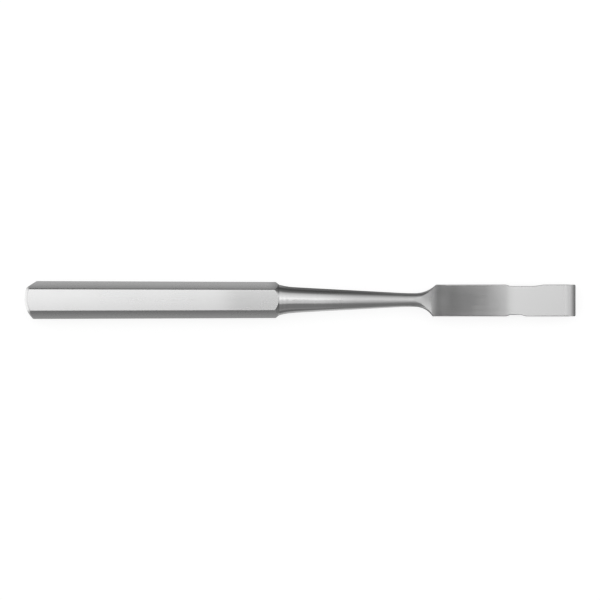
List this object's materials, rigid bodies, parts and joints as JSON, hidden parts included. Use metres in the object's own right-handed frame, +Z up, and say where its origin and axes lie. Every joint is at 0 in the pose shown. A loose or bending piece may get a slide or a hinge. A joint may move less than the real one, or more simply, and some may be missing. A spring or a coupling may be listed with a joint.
{
  "type": "bone chisel",
  "caption": "Surgical bone chisel of one piece of steel: six-sided handle with a domed butt, round tapered neck, flared shoulder and flat blade with a bevelled cutting edge.",
  "frame": {"origin": "on the surface that the chisel lies on, below the middle of its bounding box", "axes": "+X from the butt towards the cutting edge, +Y across the blade, +Z up, out of the upper flat of the handle"},
  "size_m": [0.205, 0.0142, 0.0123],
  "materials": {
    "steel": "satin stainless steel, ground lengthways on the handle and round the neck"
  },
  "bodies": {
    "root": {"bone_chisel": "steel"}
  },
  "joints": []
}
